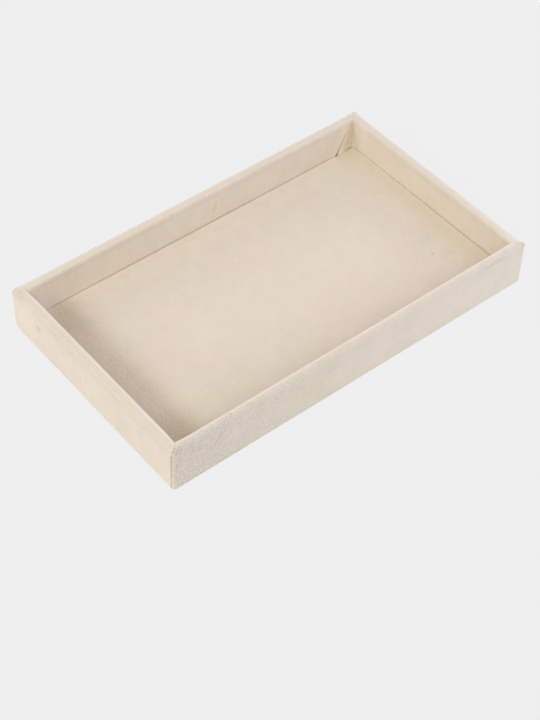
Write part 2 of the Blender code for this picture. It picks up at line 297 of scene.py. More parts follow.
# the corners in turn: front left, front right, back right and back left
NEAR, RIGHT, BACK, LEFT = range(4)
GUSSET_HEAD = {NEAR: 3.6 * MM, RIGHT: 3.6 * MM, BACK: 3.6 * MM, LEFT: 0.3 * MM}
GUSSET_FOOT = {NEAR: 11.1 * MM, RIGHT: 11.1 * MM, BACK: 14.8 * MM, LEFT: 7.8 * MM}
SEAM_GAP = {NEAR: 0.22 * MM, RIGHT: 0.12 * MM, BACK: 0.12 * MM, LEFT: 0.08 * MM}
RIM_GAP = 0.05 * MM
LEAST_SLANT = 0.3 * MM
rows = np.arange(len(section))
on_outer = (rows >= outer_start) & (rows < rim_start)
on_rim = (rows >= rim_start) & (rows < lining_start)
on_lining = (rows >= lining_start) & (rows < hem_start)
inside = rows >= lining_start


def slant_of(corner):
    """How wide the gusset at a corner is, row by row."""
    depth = (LINING_TOP - height) / (LINING_TOP - FLOOR_Z)
    width = GUSSET_HEAD[corner] + (GUSSET_FOOT[corner] - GUSSET_HEAD[corner]) * depth
    return np.maximum(width, LEAST_SLANT)


def joint_of(corner):
    """Where the long strip ends past a corner, row by row. Below 0, it ends before the corner."""
    share = held((OUTER_TOP - height) / (OUTER_TOP - FOOT_Z))
    across = held(inset / WALL)
    ear = EAR_HEAD + (EAR_FOOT - EAR_HEAD) * share
    place = ear * (1 - across) - RIM_SWING * np.sin(math.pi * across)
    slant = slant_of(corner)
    turning = held((rows - inner_bend_start) / (lining_start - inner_bend_start))
    place = place - slant[lining_start] * turning**2
    place = np.where(on_lining, -slant, place)
    return np.where(rows >= hem_start, -slant[hem_start - 1] + inset - WALL, place)


def seam_gap_of(corner):
    """How far the two strips stay apart, row by row."""
    return np.where(on_rim, RIM_GAP, SEAM_GAP[corner])


print("at the near corner the ear is", round(joint_of(NEAR)[outer_start] / MM, 1), "mm wide at the foot")

# %% [markdown]
# The ring's corners are rounded too. Outside, the round shrinks to nothing on top of the rim, as
# on a wrapped box. Inside, the cloth makes a sharp crease high up, and lower down it bridges the
# corner in a wider curve. A bevel has one width, and this round differs from row to row, so it is
# worked out. The mesh's columns stand closer together near a corner and near the strip's end.

# %% How round the corners are
CORNER_RADIUS = 2.4 * MM
CREASE_RADIUS = 0.3 * MM
BRIDGE_RADIUS = 3.0 * MM
BRIDGE_TOP = 19 * MM
BRIDGE_CURVE = 1.5
LEAST_CREASE = 0.1
outer_round = np.maximum(CORNER_RADIUS - inset, 0)
least_round = CREASE_RADIUS * np.clip(1 - inset / WALL, LEAST_CREASE, 1)
bridge_share = held((BRIDGE_TOP - height) / (BRIDGE_TOP - FLOOR_Z))
inner_round = CREASE_RADIUS + (BRIDGE_RADIUS - CREASE_RADIUS) * bridge_share**BRIDGE_CURVE
corner_round = np.where(inside, inner_round, np.maximum(outer_round, least_round))


def ring_places(along, half_along, half_out):
    """Where the cloth lies, for a wall that faces -Y. along is how far each place is from its middle."""
    far = (half_along - inset)[:, None]
    out = (half_out - inset)[:, None]
    rounding = corner_round[:, None]
    reach = np.abs(along)
    angle = held((reach - far + rounding) / (2 * rounding)) * math.pi / 2
    x = np.minimum(reach, far - rounding) + rounding * np.sin(angle)
    y = -out + rounding * (1 - np.cos(angle)) + np.maximum(reach - far - rounding, 0)
    z = np.broadcast_to(height[:, None], along.shape)
    return np.stack([np.copysign(x, along), y, z], axis=-1)


print("the inner corners widen to a radius of", round(inner_round.max() / MM, 1), "mm at the floor")

# %% Columns along half a wall
CORNER_ZONE = 6 * MM
LEAST_TAIL = 0.6 * MM
ZONE_CROWDING = 0.8
TAIL_CROWDING = 1.5


def half_columns(ends, far, middle_columns, corner_columns, end_columns):
    """The distance along half a wall of each column, row by row, closer together near its end."""
    corners = np.minimum(far, ends - LEAST_TAIL)[:, None]
    zone = np.linspace(0, 1, corner_columns + 1)[1:] ** ZONE_CROWDING * CORNER_ZONE
    tail = 1 - np.linspace(1, 0, end_columns + 1)[1:] ** TAIL_CROWDING
    middle = np.linspace(0, 1, middle_columns + 1)
    before = corners - CORNER_ZONE
    parts = [before * middle, before + zone, corners + (ends[:, None] - corners) * tail]
    return np.concatenate(parts, axis=1)


# %% [markdown]
# Cloth on a board is never quite flat. It swells a little between its glued edges, it rolls under
# where two strips meet, and it keeps the odd crease and dent. These could be sculpted, but as
# numbers they come out the same on every run. Each is a small height above the board, and they
# are added up before the cloth is moved along its own normals.

# %% Relief
SWELL = 0.10 * MM
RIPPLE = 0.035 * MM
SWELL_SIZE = 45 * MM
RIPPLE_SIZE = 9 * MM
MARK_END = 0.3
# a spot is a line without length, and this keeps it from dividing by 0
TINY = 1e-12


def rolled_edge(from_edge, radius):
    """How far the cloth drops near its edge, as a quarter round."""
    near = held(1 - from_edge / radius)
    return -radius * (1 - np.sqrt(1 - near**2))


def bell(value, width, power=2):
    """1 where the value is 0, and fading out on both sides about width away."""
    return np.exp(-((value / width) ** power))


def unevenness(places, most, size, seed):
    """Smooth random heights of up to about most, in bumps about size wide, the same on every run."""
    spread = places.reshape(-1, 3) / size + seed
    values = [noise.noise(Vector(place)) for place in spread]
    return most * np.array(values).reshape(places.shape[:-1])


def near_line(places, start, end, width):
    """1 on a line between two places, weaker at its ends and fading out about width away from it."""
    start, run = np.array(start), np.subtract(end, start)
    share = held((places - start) @ run / max(run @ run, TINY))
    away = np.linalg.norm(places - start - share[..., None] * run, axis=-1)
    strength = MARK_END + (1 - MARK_END) * np.sin(math.pi * share) if run.any() else 1
    return bell(away, width) * strength


def normals_of(places):
    """The direction in which each place of the cloth faces."""
    down = np.gradient(places, axis=0)
    across = np.gradient(places, axis=1)
    facing = np.cross(across, down)
    return facing / np.linalg.norm(facing, axis=-1, keepdims=True)


print("the cloth swells by about", round(SWELL / MM, 2), "mm and ripples by", round(RIPPLE / MM, 3))

# %% [markdown]
# These are the marks of use and of the making, each a line or a spot on the tray. An entry gives
# two ends, how wide the mark is, how high the cloth stands there, and how much darker its pile is
# painted. In the creases, pits, dents and the groove that darkness is painted shade; the spot and
# the speck are simply dark. A closed fold has ridges and a groove side by side, so it takes three
# entries. The last entries are wide patches of painted light and shade: all but one paint the pile
# paler where the lamps leave it darker, and one paints it darker. They could be painted on, but in
# a table each mark is found and moved by its one line.

# %% Marks
# start, end or None for a spot, width and lift in millimetres, and shade
MARKS_MM = [
    # a slanting fold on the front wall, near the closest corner, with painted shade in its groove
    ((-90.4, -75, 28), (-98.6, -75, 18), 0.9, 0.10, 0.0),
    ((-91.6, -75, 27), (-99.8, -75, 17), 0.8, -0.12, 0.25),
    ((-94.8, -75, 28), (-103, -75, 19), 1.0, 0.06, 0.0),
    # a crease in the back wall's lining, with painted shade in it, and a dark spot on the left wall
    ((12.3, 68, 22.6), (9.2, 68, 14), 0.8, -0.10, 0.2),
    ((-125, 48.9, 20.1), None, 2.1, 0, 0.36),
    # pits where the strips meet at the closest corner, with painted shade in them
    ((-121.3, -72.0, 31), None, 0.6, -0.3, 0.3),
    ((-121.1, -74.6, 30.2), None, 0.55, -0.2, 0.3),
    ((-123.1, -73.5, 30.5), None, 0.6, -0.2, 0.3),
    ((-122.2, -75, 29.4), None, 0.5, -0.2, 0.25),
    ((-119.4, -74.4, 30.4), None, 0.5, -0.15, 0.25),
    # the front right corner: a nub of folded cloth, a ridge and a dent, darkened with painted shade
    ((123.4, -73.4, 30.2), None, 1.9, 0.5, 0.1),
    ((124.6, -74.6, 29.6), None, 0.8, 0.1, 0.3),
    ((111.4, -72.5, 31), (115.6, -75, 18.4), 0.9, 0.10, 0.1),
    ((92.5, -75, 29.6), (108, -75, 29.6), 1.0, -0.12, 0.15),
    # the back left corner: a crease over the rim, dents and an upright crease, with painted shade
    ((-117.4, 66.9, 31), (-119.0, 72.7, 31), 0.6, -0.20, 0.3),
    ((-122.2, 68.7, 31), None, 1.6, -0.15, 0.2),
    ((-123.5, 65.2, 30.6), None, 1.4, -0.15, 0.2),
    ((-125, 55.4, 29), (-125, 55.4, 12), 1.2, -0.08, 0.05),
    # a crease on the rim of the back right corner, with painted shade in it, and a speck on the floor
    ((116.7, 72.9, 30.6), (118.4, 72.2, 30.9), 0.7, -0.20, 0.5),
    ((92.6, -33.5, 9.8), None, 0.7, 0.0, 0.5),
    # painted shade in the groove at the foot of the right wall
    ((118, -66, 9.9), (118, 50, 9.9), 0.6, 0, 0.18),
    # the wide patches of painted light, and one of painted shade
    ((-125, -38, 14), (-125, -12, 14), 12, 0, 0.05),
    ((-125, 47, 16), (-125, 75, 16), 14, 0, -0.17),
    ((-116, 68, 14), (-104, 68, 15), 7, 0, -0.22),
    ((118, 53, 25), (118, 64, 24), 7, 0, -0.24),
    ((118, -62, 22), (118, -57, 22), 8, 0, -0.1),
    ((100, -22, 9.8), (112, 64, 9.8), 13, 0, -0.14),
    ((112, 66, 9.8), (115, 66, 9.8), 4, 0, -0.15),
]
print("marks:", len(MARKS_MM))


def marks_at(places):
    """How far the marks lift the cloth at each place, and how much they darken it."""
    lift, darker = np.zeros(places.shape[:-1]), np.zeros(places.shape[:-1])
    for start, end, width, mark_lift, mark_shade in MARKS_MM:
        mark = near_line(places / MM, start, end or start, width)
        lift += mark_lift * MM * mark
        darker += mark_shade * mark
    return lift, darker


# %% [markdown]
# A strip is now a grid of places, with a row for each point across it and a column for each step
# along it. One function turns such a grid into cloth: it makes the faces and keeps the flat shape
# as a UV map, in metres. A cloth simulation could drape it, but this cloth is glued down, so it
# lies where the board is. A Solidify modifier gives it its thickness, towards the board. Numbers
# for the material, such as how dark the pile is, are stored with the vertices as attributes.

# %% Cloth from a grid of places
def keep_number(mesh, name, values):
    """Store one number for each vertex, for a material to read."""
    mesh.attributes.new(name, "FLOAT", "POINT").data.foreach_set("value", np.ravel(values))


def grid_faces(grid):
    """The faces between the rows and columns of a grid of places, as four vertex numbers each."""
    number = np.arange(grid.shape[0] * grid.shape[1]).reshape(grid.shape[:2])
    corners = (number[:-1, :-1], number[:-1, 1:], number[1:, 1:], number[1:, :-1])
    return np.stack(corners, axis=-1).reshape(-1, 4).tolist()


def thick_piece(name, mesh, material, thickness):
    """A mesh as a visible piece in one material, thickened inwards."""
    mesh.materials.append(material)
    mesh.shade_smooth()
    piece = bpy.data.objects.new(name, mesh)
    scene.collection.objects.link(piece)
    solid = piece.modifiers.new("thickness", "SOLIDIFY")
    solid.thickness = thickness
    solid.offset = -1
    return piece


def cloth_piece(name, places, flat, material, thickness):
    """A sheet through a grid of places. Its UV map holds where each lay on the flat cloth."""
    mesh = bpy.data.meshes.new(name)
    mesh.from_pydata(places.reshape(-1, 3).tolist(), [], grid_faces(places))
    layer = mesh.uv_layers.new(name="flat_cloth")
    loops = np.zeros(len(mesh.loops), int)
    mesh.loops.foreach_get("vertex_index", loops)
    layer.data.foreach_set("uv", flat.reshape(-1, 2)[loops].ravel())
    return thick_piece(name, mesh, material, thickness)


# %% [markdown]
# A material is a small net of nodes, and a few kinds of node return in every finish here. Each
# kind gets a function, so that a finish reads as a list of what it is made of.

# %% Nodes for every finish
def noise_layer(net, coordinates, size, detail, stretch=None):
    """A noise whose features are about size across, on coordinates in metres."""
    if stretch is not None:
        turned = net.nodes.new("ShaderNodeMapping")
        fill(turned, {"Rotation": stretch[0], "Scale": stretch[1]})
        net.links.new(coordinates, turned.inputs["Vector"])
        coordinates = turned.outputs[0]
    cloud = net.nodes.new("ShaderNodeTexNoise")
    fill(cloud, {"Scale": 1 / size, "Detail": detail})
    net.links.new(coordinates, cloud.inputs["Vector"])
    return cloud.outputs["Fac"]


def weighted_sum(net, parts):
    """The sum of each part times its weight."""
    total = None
    for output, weight in parts:
        step = net.nodes.new("ShaderNodeMath")
        step.operation = "MULTIPLY_ADD"
        step.inputs[1].default_value = weight
        step.inputs[2].default_value = 0
        net.links.new(output, step.inputs[0])
        if total is not None:
            net.links.new(total, step.inputs[2])
        total = step.outputs[0]
    return total


def between(net, value, low, high, to_low, to_high):
    """The value's range low to high, taken to another range."""
    reach = net.nodes.new("ShaderNodeMapRange")
    fill(reach, {"From Min": low, "From Max": high, "To Min": to_low, "To Max": to_high})
    net.links.new(value, reach.inputs["Value"])
    return reach.outputs[0]


def mixed_colour(net, factor, low, high):
    """low where the factor is 0 and high where it is 1. Either may be a colour or a node's output."""
    mix = net.nodes.new("ShaderNodeMix")
    mix.data_type = "RGBA"
    for socket, colour in (("A", low), ("B", high)):
        if isinstance(colour, tuple):
            mix.inputs[socket].default_value = (*colour, 1)
        else:
            net.links.new(colour, mix.inputs[socket])
    net.links.new(factor, mix.inputs["Factor"])
    return mix.outputs["Result"]


def product(net, kind, first, second):
    """Two outputs multiplied, as numbers or as colours, by a node of the given kind."""
    multiply = net.nodes.new(kind)
    multiply.operation = "MULTIPLY"
    net.links.new(first, multiply.inputs[0])
    net.links.new(second, multiply.inputs[1])
    return multiply.outputs[0]


def kept_number(net, name):
    """A number stored on the cloth, and 0 where there is none."""
    attribute = net.nodes.new("ShaderNodeAttribute")
    attribute.attribute_name = name
    return attribute.outputs["Fac"]


def add_bump(net, shader, raised, strength, distance):
    """Make the surface look raised where the output is high, by up to the distance."""
    bump = net.nodes.new("ShaderNodeBump")
    fill(bump, {"Strength": strength, "Distance": distance})
    net.links.new(raised, bump.inputs["Height"])
    net.links.new(bump.outputs[0], shader.inputs["Normal"])


# %% [markdown]
# The velvet is one cloth throughout, so one function makes its material. A fine noise is the pile
# itself, a wider one the places where a hand has brushed it, and a stretched one the faint marks
# that run down the cloth at a slant. Together they vary the colour, and the finest also lifts the
# surface. Hairs would be truer, and far too slow for a whole tray. Sheen gives velvet its pale edge
# wherever it turns away. Three numbers kept on the cloth change it from place to place. One is
# painted shade in grooves, creases, pits and shadows, and it also darkens the seams, where the pile
# parts, and a few stains. One is painted light: a painted highlight along the rims and the gussets'
# folds, and paler cloth where the lamps leave it in shade. The last is ruffle, where the pile stands
# up, which on the floor pad also paints the left wall's shadow darker and more olive.

# %% Colours and sizes of the pile
VELVET_LIGHT = (0.84, 0.745, 0.625)
VELVET_DARK = (0.70, 0.60, 0.48)
# the pile's dark root, which shows where it stands up or parts, and the colour of painted shade
PILE_ROOT_AND_SHADE = (0.28, 0.23, 0.17)
COOLER = (0.955, 0.99, 1.045)
OLIVE_SHADOW_TINT = (0.985, 0.97, 0.92)
PAINTED_LIGHT_COLOUR = (1.0, 0.89, 0.775)
PINKISH = (1.055, 0.955, 1.045)
YELLOWISH = (0.95, 1.035, 0.935)
UNCHANGED = (1.0, 1.0, 1.0)
SHEEN_TINT = (1.0, 0.97, 0.93, 1)
SHEEN_ROUGHNESS = 0.3
MIRRORING = 0.15
# how wide the features of each noise are, and how much of the tone it makes
PILE_SIZE, PILE_SHARE = 1.1 * MM, 0.24
STROKE_SIZE, STROKE_SHARE = 2.0 * MM, 0.13
BRUSHED_SIZE, BRUSHED_SHARE = 9 * MM, 0.2
WIDE_SIZE, WIDE_SHARE = 45 * MM, 0.12
STROKE_TURN = (0, math.radians(35), math.radians(20))
STROKE_SCALE = (1, 1, 0.35)
TONE_REACH = 0.2
SMALL_HUE_SIZE = 5 * MM
WIDE_HUE_SIZE = 30 * MM
# the pile stands up above the first number, fully above the second, and the third is how dark
STANDING_SIZE = 0.9 * MM
STANDING_FROM, STANDING_FULL, STANDING_DARK = 0.46, 0.64, 0.32
FIBRE_SIZE = 0.45 * MM
FIBRE_SHARE = 0.3
PILE_BUMP = 0.35
PILE_HEIGHT = 0.25 * MM
# nearly all of a noise lies between these two values
NOISE_LOW, NOISE_HIGH = 0.3, 0.7
SMOOTHEST, ROUGHEST = 0.86, 0.98


# %% Velvet
def pile_colour(net, place, noises, grain, patches, ruffled_tint):
    """The colour of the pile: its tone, its hue, and what the numbers kept on the cloth change."""
    shares = (PILE_SHARE * grain, STROKE_SHARE * grain, BRUSHED_SHARE, WIDE_SHARE)
    middle = sum(shares) / 2
    total = weighted_sum(net, zip(noises, shares))
    tone = between(net, total, middle - TONE_REACH, middle + TONE_REACH, 0, 1)
    colour = mixed_colour(net, tone, VELVET_DARK, VELVET_LIGHT)
    small_hue = noise_layer(net, place, SMALL_HUE_SIZE, detail=3)
    wide_hue = noise_layer(net, place, WIDE_HUE_SIZE, detail=2)
    hues = weighted_sum(net, [(small_hue, 1 - patches), (wide_hue, patches)])
    hue = mixed_colour(net, hues, YELLOWISH, PINKISH)
    colour = product(net, "ShaderNodeVectorMath", colour, hue)
    standing = noise_layer(net, place, STANDING_SIZE, detail=2)
    standing = between(net, standing, STANDING_FROM, STANDING_FULL, 0, STANDING_DARK)
    ruffle = kept_number(net, "ruffle")
    tint = mixed_colour(net, ruffle, UNCHANGED, ruffled_tint)
    colour = product(net, "ShaderNodeVectorMath", colour, tint)
    ruffled = product(net, "ShaderNodeMath", standing, ruffle)
    colour = mixed_colour(net, ruffled, colour, PILE_ROOT_AND_SHADE)
    # painted light: painted highlights on the rims and folds, and paler cloth where the lamps leave
    # shade
    colour = mixed_colour(net, kept_number(net, "painted_light"), colour, PAINTED_LIGHT_COLOUR)
    # painted shade in grooves, creases, pits and shadows, with the real dark of seams and stains
    return mixed_colour(net, kept_number(net, "shade"), colour, PILE_ROOT_AND_SHADE)


def velvet(name, grain, patches, ruffled_tint):
    """Short cut pile. grain is how strongly it shows, patches how much of its hue varies in wide
    patches, and ruffled_tint what its colour is multiplied by where the pile stands up."""
    material, net = new_material(name)
    shader = net.nodes["Principled BSDF"]
    place = net.nodes.new("ShaderNodeTexCoord").outputs["Object"]
    pile = noise_layer(net, place, PILE_SIZE, detail=3)
    strokes = noise_layer(net, place, STROKE_SIZE, detail=2, stretch=(STROKE_TURN, STROKE_SCALE))
    brushed = noise_layer(net, place, BRUSHED_SIZE, detail=2)
    wide = noise_layer(net, place, WIDE_SIZE, detail=1)
    noises = (pile, strokes, brushed, wide)
    colour = pile_colour(net, place, noises, grain, patches, ruffled_tint)
    net.links.new(colour, shader.inputs["Base Color"])
    roughness = between(net, brushed, NOISE_LOW, NOISE_HIGH, SMOOTHEST, ROUGHEST)
    net.links.new(roughness, shader.inputs["Roughness"])
    fibres = noise_layer(net, place, FIBRE_SIZE, detail=2)
    raised = weighted_sum(net, [(pile, 1 - FIBRE_SHARE), (fibres, FIBRE_SHARE)])
    add_bump(net, shader, raised, PILE_BUMP, PILE_HEIGHT)
    fill(shader, {"Specular IOR Level": MIRRORING, "Sheen Weight": 1.0})
    fill(shader, {"Sheen Roughness": SHEEN_ROUGHNESS, "Sheen Tint": SHEEN_TINT})
    return material


wall_velvet = velvet("wall_velvet", grain=1.0, patches=0.4, ruffled_tint=COOLER)
# the pad's olive tint, where its pile stands up, also paints the olive of the left wall's shadow
pad_velvet = velvet("pad_velvet", grain=1.1, patches=0.6, ruffled_tint=OLIVE_SHADOW_TINT)
CLOTH = 0.5 * MM
print("velvet", round(CLOTH / MM, 1), "mm thick in", [wall_velvet.name, pad_velvet.name])

# %% [markdown]
# A short cover runs on past the inner corner as the gusset. It lies lower than the lining beside
# it, runs under that lining's edge, and near the floor stands out in a soft fold. The fold could
# be a mesh of its own, but on the real tray it is the same cloth, so here it is relief as well.
# Its shading is painted too: shade under the lining's edge, in the corner's crease, behind the
# fold and at its foot, and a painted highlight along the fold's ridge.

# %% Gussets
GUSSET_DROP = 0.4 * MM
GUSSET_FOLD = 1.7 * MM
FOLD_PLACE = 0.7
FOLD_WIDTH = 0.3
FOLD_SLOPE = 0.2
BEHIND_FOLD = 0.6
JOINT_CALM = 0.2
FOLD_TOP = 27 * MM
FULLNESS_CURVE = 0.8
# painted shade behind the fold and at its foot, and a painted highlight along its ridge
FOLD_SHADE = 0.06
FOLD_HIGHLIGHT = 0.3
FOOT_BLUR = 0.9 * MM
FOOT_SHADE = 0.08
FOOT_SPREAD = 2.5 * MM
FOOT_STAND = 0.4 * MM
# painted shade under the lining's edge and in the corner's crease
UNDER_BLUR = 2.2 * MM
UNDER_LEAST_BLUR = 0.4
UNDER_SHADE = 0.85
UNDER_LEAST_SHADE = 0.5
CREASE_BLUR = 0.3 * MM
CREASE_SHADE = 0.3
CORNER_FADE = 1 * MM
LINING_FROM = 1 * MM
LINING_FADE = 3 * MM
full_lining = held((LINING_TOP + LINING_FROM - height) / LINING_FADE) * (rows < hem_start)
full_lining = (full_lining * inside)[:, None]
lining_depth = held((LINING_TOP - height) / (LINING_TOP - FLOOR_Z))[:, None]


def gusset_form(past, slant):
    """The gusset past the inner corner: how far it stands off its board, and its painted shading."""
    share = np.clip(past / slant, 0, None)
    above_floor = height[:, None] - FLOOR_Z
    fullness = held((FOLD_TOP - height[:, None]) / (FOLD_TOP - FLOOR_Z)) ** FULLNESS_CURVE
    near_floor = held(1 - above_floor / FOOT_SPREAD)
    fold = bell(share - FOLD_PLACE, np.where(share > FOLD_PLACE, FOLD_SLOPE, FOLD_WIDTH))
    low = held(past / CORNER_FADE) * full_lining
    free = held((1 - share) / JOINT_CALM)
    off_board = free * (GUSSET_FOLD * fold * fullness + FOOT_STAND * near_floor)
    stand = low * (off_board - GUSSET_DROP * (1 - free * near_floor))
    behind_fold = bell(share - FOLD_PLACE + FOLD_WIDTH, BEHIND_FOLD * FOLD_WIDTH)
    under_reach = UNDER_BLUR * (UNDER_LEAST_BLUR + (1 - UNDER_LEAST_BLUR) * fullness)
    under_edge = bell(np.abs(slant - past), under_reach, power=4)
    under_edge *= UNDER_LEAST_SHADE + (1 - UNDER_LEAST_SHADE) * fullness
    crease = bell(past, CREASE_BLUR) * held(above_floor / FOOT_SPREAD)
    at_foot = bell(above_floor, FOOT_BLUR) * held((FOLD_PLACE - share) / FOLD_WIDTH)
    # painted shade under the lining's edge, in the crease, behind the fold and at its foot, less a
    # painted highlight on the ridge
    dark = full_lining * (UNDER_SHADE * under_edge * (past > 0) + CREASE_SHADE * crease)
    folds = FOLD_SHADE * behind_fold * fullness - FOLD_HIGHLIGHT * fold * free
    return stand, dark + low * (folds + FOOT_SHADE * at_foot)


slant = slant_of(BACK)[:, None]
stand = gusset_form(np.linspace(0, 1) * slant, slant)[0]
print("the widest gusset stands out by up to", round(stand.max() / MM, 1), "mm")

# %% [markdown]
# Each wall's cover is the ring between its two joints. It is made for a wall that faces -Y and
# then turned to its own side, so one function makes all four. Mirroring would be quicker, but hand
# work is never the same twice: one lining leans and one bend is flatter, so each cover gets its own
# numbers. Where two strips meet, the pile parts and the seam looks dark. Painted shade darkens the
# long lining's cut edge and the groove where each wall meets the floor pad.

# %% Numbers of the covers
LINING_STAND = 0.8 * MM
LINING_EDGE = 7 * MM
TUCK_UNDER = 0.8 * MM
SEAM_BLUR = 0.3 * MM
SEAM_SHADE = 0.22
# painted shade along the long lining's cut edge, deeper towards the floor
LINING_END_BLUR = 0.5 * MM
LINING_END_SHADE = 0.5
LINING_END_LEAST = 0.3
OUTER_ROLL = 0.45 * MM
RIM_ROLL = 0.18 * MM
BEND_REACH = 2.0 * MM
CORNER_CALM = 8 * MM
# painted shade in the groove where a wall meets the floor pad
GROOVE_WIDTH = 0.6 * MM
GROOVE_SHADE = 0.2
DARKEST = 0.8
SWELL_SEED, RIPPLE_SEED = 3, 11
COLUMN_STEP = 1.25 * MM
CORNER_COLUMNS = 12
LONG_END_COLUMNS, SHORT_END_COLUMNS = 11, 24
inner_bend_middle = cloth_across[lining_start] - 1.2 * MM
outer_bend_middle = cloth_across[rim_start] + 2.0 * MM


# %% Columns and relief of a cover
def columns_of(corners, is_long, half_along):
    """How far along its wall each place of a cover is, row by row, and where its ends are cut."""
    far = half_along - inset
    middle_columns = round((half_along - CORNER_ZONE) / COLUMN_STEP)
    end_columns = LONG_END_COLUMNS if is_long else SHORT_END_COLUMNS
    halves, cut_ends = [], []
    for corner in corners:
        joint = joint_of(corner)
        ends = far + (joint if is_long else -joint) - seam_gap_of(corner) / 2
        if not is_long:
            ends = np.where(inside, far - joint + TUCK_UNDER, ends)
        halves.append(half_columns(ends, far, middle_columns, CORNER_COLUMNS, end_columns))
        cut_ends.append(ends)
    return np.concatenate([-halves[0][:, :0:-1], halves[1]], axis=1), cut_ends


def relief_of(places, quarter_turns, from_end, from_corner, lean, inner_full, outer_full):
    """How far a wall's cloth stands off its board, apart from its gussets and its lining's ends."""
    relief = unevenness(places, SWELL, SWELL_SIZE, quarter_turns + SWELL_SEED)
    relief += unevenness(places, RIPPLE, RIPPLE_SIZE, quarter_turns + RIPPLE_SEED)
    relief += rolled_edge(from_end, np.where(on_rim, RIM_ROLL, OUTER_ROLL)[:, None])
    relief -= full_lining * held(from_corner / CORNER_FADE) * lean * lining_depth
    calm = held(from_corner / CORNER_CALM)
    for fullness, middle in ((inner_full, inner_bend_middle), (outer_full, outer_bend_middle)):
        relief += fullness * calm * bell(cloth_across - middle, BEND_REACH)[:, None]
    return relief


# %% One wall's cover
def wall_cover(name, quarter_turns, is_long, lean, inner_full, outer_full, tones, ruffle):
    """One wall's velvet. Its lining leans back by lean at the floor, its two bends stand out by
    inner_full and outer_full, and tones gives the painted light and shade across its rim."""
    half_along, half_out = (HALF_LENGTH, HALF_WIDTH) if is_long else (HALF_WIDTH, HALF_LENGTH)
    corners = (quarter_turns, (quarter_turns + 1) % 4)
    along, cut_ends = columns_of(corners, is_long, half_along)
    places = ring_places(along, half_along, half_out)
    places = places @ np.array(Matrix.Rotation(quarter_turns * math.pi / 2, 3, "Z")).T
    from_end = np.where(along < 0, *(ends[:, None] for ends in cut_ends)) - np.abs(along)
    from_corner = (half_along - inset)[:, None] - np.abs(along)

    relief = relief_of(places, quarter_turns, from_end, from_corner, lean, inner_full, outer_full)
    # painted shade in the groove at the floor, and the seam's dark line where the pile parts
    groove = bell(height - FLOOR_Z, GROOVE_WIDTH) * inside
    shade = SEAM_SHADE * np.exp(-from_end / SEAM_BLUR) * on_outer[:, None]
    shade = shade + GROOVE_SHADE * groove[:, None]
    if is_long:
        relief += full_lining * LINING_STAND * held(1 - from_end / LINING_EDGE) ** 2
        # painted shade along the lining's cut edge
        end_dark = LINING_END_SHADE * (LINING_END_LEAST + (1 - LINING_END_LEAST) * lining_depth)
        shade += end_dark * np.exp(-from_end / LINING_END_BLUR) * full_lining
    else:
        for side, corner in zip((along < 0, along >= 0), corners):
            stand, dark = gusset_form(-from_corner, slant_of(corner)[:, None])
            relief += side * stand
            shade += side * dark
    lift, darker = marks_at(places)
    relief += lift
    shade += darker
    places = places + normals_of(places) * relief[..., None]

    flat = np.stack([along, np.broadcast_to(cloth_across[:, None], along.shape)], axis=-1)
    cover = cloth_piece(name, places, flat, wall_velvet, CLOTH)
    # above 0 this paints light on the rim; below 0 it paints shade, and darkens seams and stains
    tone = np.interp((cloth_across - cloth_across[rim_start]) / MM, *zip(*tones))[:, None] - shade
    keep_number(cover.data, "shade", np.clip(-tone, 0, DARKEST))
    keep_number(cover.data, "painted_light", held(tone))
    keep_number(cover.data, "ruffle", ruffle(places))
    node = name.replace("velvet", "wall_cover")
    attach(cover, "root")
    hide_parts(node)
    widths = cut_ends[0] + cut_ends[1]
    size = (float(cloth_across[-1]), float(widths.max()))
    size_mm = [round(side / MM, 1) for side in size]
    print(name, "cut from", size_mm, "mm,", len(cover.data.polygons), "faces")


# %% [markdown]
# Across its rim each cover has its run of tones, which are painted light and shade: a painted
# highlight along the near walls' inner bend, and paler and darker bands that even out how the lamps
# light the rims. A tone stands beside its distance from where the rim's bend begins, in millimetres:
# above 0 the pile is painted paler, below 0 darker. How far the pile stands up differs too, and it
# is roughest at the closest corner. Both could be painted on the meshes, but a short list can be
# read, and it stays right when a size changes.

# %% The four covers
LEAST_RUFFLE = 0.1
CORNER_RUFFLE = 0.9
CORNER_RUFFLE_END = 0.55


def ruffle_near_corner(places):
    """Rough near the corner that the camera is closest to, and smoother along the wall."""
    away = (places[..., 0] + HALF_LENGTH) / (2 * HALF_LENGTH)
    return LEAST_RUFFLE + CORNER_RUFFLE * held(1 - away / CORNER_RUFFLE_END)


def slight_ruffle(places):
    """The same everywhere."""
    return np.full(places.shape[:-1], LEAST_RUFFLE)


# painted highlight and painted shade across each rim, by millimetres from the rim's bend
FRONT_TONES = [(-12, 0), (-3, -0.03), (-0.3, -0.03), (1, -0.12), (2.5, -0.14), (3.6, -0.05), (4.6, 0.05)]
FRONT_TONES += [(5.3, 0.2), (6.2, 0.57), (7, 0.65), (7.6, 0.6), (8.5, 0.3), (9.5, 0)]
LEFT_TONES = [(-12, 0), (-3, -0.03), (0, -0.09), (1.6, -0.14), (2.8, -0.04), (3.9, 0.1), (5.3, 0.15)]
LEFT_TONES += [(6.3, 0.25), (7.2, 1.0), (8.2, 0.5), (9.5, 0)]
FAR_TONES = [(0.5, 0), (1.6, 0.45), (4.6, 0.6), (5.6, 0.15), (6.8, 0.15)]
FAR_TONES += [(8, -0.1), (9.5, -0.1), (13, 0)]
